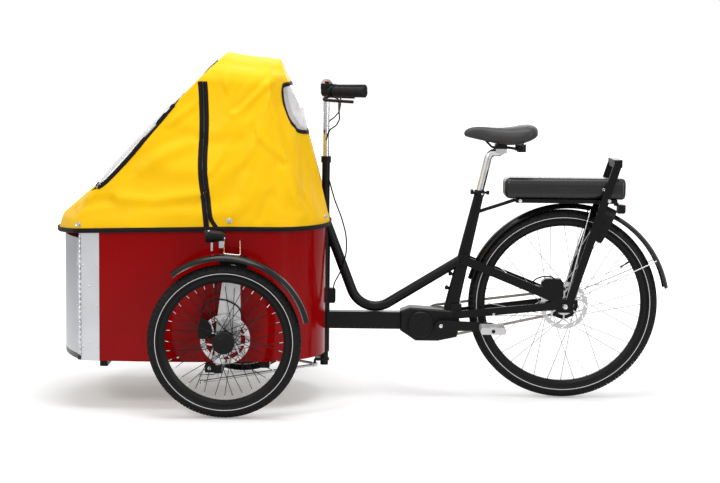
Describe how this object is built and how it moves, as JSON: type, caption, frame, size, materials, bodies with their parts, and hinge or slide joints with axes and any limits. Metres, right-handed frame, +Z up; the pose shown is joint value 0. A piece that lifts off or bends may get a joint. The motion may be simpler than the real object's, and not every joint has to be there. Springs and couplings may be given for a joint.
{
  "type": "electric cargo tricycle",
  "caption": "Pedal-assist cargo tricycle with a round-ended front box, opening front door, hood and rear battery.",
  "frame": {"origin": "on the floor, midway between the front and rear ends of the bike", "axes": "+X towards the rear of the bike, +Y to the rider's right, +Z up"},
  "size_m": [2.0525, 0.914, 1.152],
  "materials": {
    "box_red": "high gloss",
    "wood_board": "sealed birch plywood",
    "door_aluminium": "satin sheet",
    "cast_aluminium": "tumbled casting",
    "frame_black": "semi-gloss powder coat",
    "motor_black": "satin",
    "steel_bright": "zinc plated",
    "chain_steel": "oiled",
    "wheel_black": "anodised black",
    "tyre": "matt rubber",
    "plastic_black": "fine grain",
    "lamp_red": "clear red lens",
    "saddle_cover": "grained vinyl",
    "grip_rubber": "matt",
    "hood_yellow": "coated fabric, soft sheen",
    "clear_vinyl": "clear soft vinyl"
  },
  "bodies": {
    "frame": {"box_wall": "box_red", "box_floor": "wood_board", "bench": "wood_board", "corner_strips": "door_aluminium", "axle_frame": "frame_black", "upper_lugs": "frame_black", "head_tube": "frame_black", "main_beam": "frame_black", "seat_tube": "frame_black", "step_tube": "frame_black", "motor_housing": "motor_black", "rear_stays": "frame_black", "rear_axle": "steel_bright", "carrier_hoop": "frame_black", "battery": "plastic_black", "battery_tray": "frame_black", "tray_link": "frame_black", "seat_post": "cast_aluminium", "saddle": "saddle_cover", "chain": "chain_steel", "front_fenders": "plastic_black", "fender_stays": "steel_bright", "head_lamps": "plastic_black", "rear_fender": "plastic_black", "rear_fender_stays": "steel_bright", "tail_lamp": "lamp_red", "hood": "hood_yellow", "hood_windows": "clear_vinyl", "saddle_rails": "frame_black", "caliper_rear": "frame_black", "ring_lock": "plastic_black", "seat_clamp": "plastic_black", "brake_hose": "plastic_black"},
    "door": {"door_panel": "door_aluminium", "door_latch": "plastic_black"},
    "steering": {"steering_column": "frame_black", "stem_post": "cast_aluminium", "handlebar": "frame_black", "grips": "grip_rubber", "brake_levers": "plastic_black", "bar_controls": "plastic_black", "bar_cables": "plastic_black"},
    "tie_rod_left": {"tie_rod_left": "steel_bright"},
    "tie_rod_right": {"tie_rod_right": "steel_bright"},
    "knuckle_left": {"knuckle_left": "cast_aluminium", "caliper_left": "frame_black"},
    "knuckle_right": {"knuckle_right": "cast_aluminium", "caliper_right": "frame_black"},
    "front_wheel_left": {"tyre_left": "tyre", "wheel_left": "wheel_black", "disc_left": "steel_bright"},
    "front_wheel_right": {"tyre_right": "tyre", "wheel_right": "wheel_black", "disc_right": "steel_bright"},
    "rear_wheel": {"tyre_rear": "tyre", "wheel_rear": "wheel_black", "disc_rear": "steel_bright"},
    "crank": {"crank": "frame_black"},
    "pedal_left": {"pedal_left": "plastic_black"},
    "pedal_right": {"pedal_right": "plastic_black"}
  },
  "joints": [
    {"name": "steering_turn", "type": "hinge", "parent": "frame", "child": "steering", "pos_m": [-0.143, 0, 0.5], "axis": [0, 0, 1], "range_deg": [-30, 30]},
    {"name": "knuckle_left_turn", "type": "hinge", "parent": "frame", "child": "knuckle_left", "pos_m": [-0.485, -0.345, 0.112], "axis": [0.1511, 0, 0.9885], "range_deg": [-20, 20]},
    {"name": "knuckle_right_turn", "type": "hinge", "parent": "frame", "child": "knuckle_right", "pos_m": [-0.485, 0.345, 0.112], "axis": [0.1511, 0, 0.9885], "range_deg": [-20, 20]},
    {"name": "tie_rod_left_swing", "type": "hinge", "parent": "steering", "child": "tie_rod_left", "pos_m": [-0.175, -0.011, 0.104], "axis": [0, 0, 1], "range_deg": [-30, 30]},
    {"name": "tie_rod_right_swing", "type": "hinge", "parent": "steering", "child": "tie_rod_right", "pos_m": [-0.175, 0.011, 0.104], "axis": [0, 0, 1], "range_deg": [-30, 30]},
    {"name": "front_wheel_left_spin", "type": "hinge", "parent": "knuckle_left", "child": "front_wheel_left", "pos_m": [-0.452, -0.415, 0.248], "axis": [0, 1, 0], "continuous": true},
    {"name": "front_wheel_right_spin", "type": "hinge", "parent": "knuckle_right", "child": "front_wheel_right", "pos_m": [-0.452, 0.415, 0.248], "axis": [0, 1, 0], "continuous": true},
    {"name": "rear_wheel_spin", "type": "hinge", "parent": "frame", "child": "rear_wheel", "pos_m": [0.667, 0, 0.3245], "axis": [0, 1, 0], "continuous": true},
    {"name": "crank_spin", "type": "hinge", "parent": "frame", "child": "crank", "pos_m": [0.251, 0, 0.252], "axis": [0, 1, 0], "continuous": true},
    {"name": "pedal_left_spin", "type": "hinge", "parent": "crank", "child": "pedal_left", "pos_m": [0.421, -0.12, 0.252], "axis": [0, 1, 0], "continuous": true},
    {"name": "pedal_right_spin", "type": "hinge", "parent": "crank", "child": "pedal_right", "pos_m": [0.081, 0.12, 0.252], "axis": [0, 1, 0], "continuous": true},
    {"name": "door_swing", "type": "hinge", "parent": "frame", "child": "door", "pos_m": [-0.932, -0.294, 0.36], "axis": [0, 0, 1], "range_deg": [0, 170]}
  ],
  "couplings": [
    {"joint": "knuckle_left_turn", "follows": "steering_turn", "ratio": 0.66667},
    {"joint": "knuckle_right_turn", "follows": "steering_turn", "ratio": 0.66667},
    {"joint": "tie_rod_left_swing", "follows": "steering_turn", "ratio": -1},
    {"joint": "tie_rod_right_swing", "follows": "steering_turn", "ratio": -1}
  ]
}
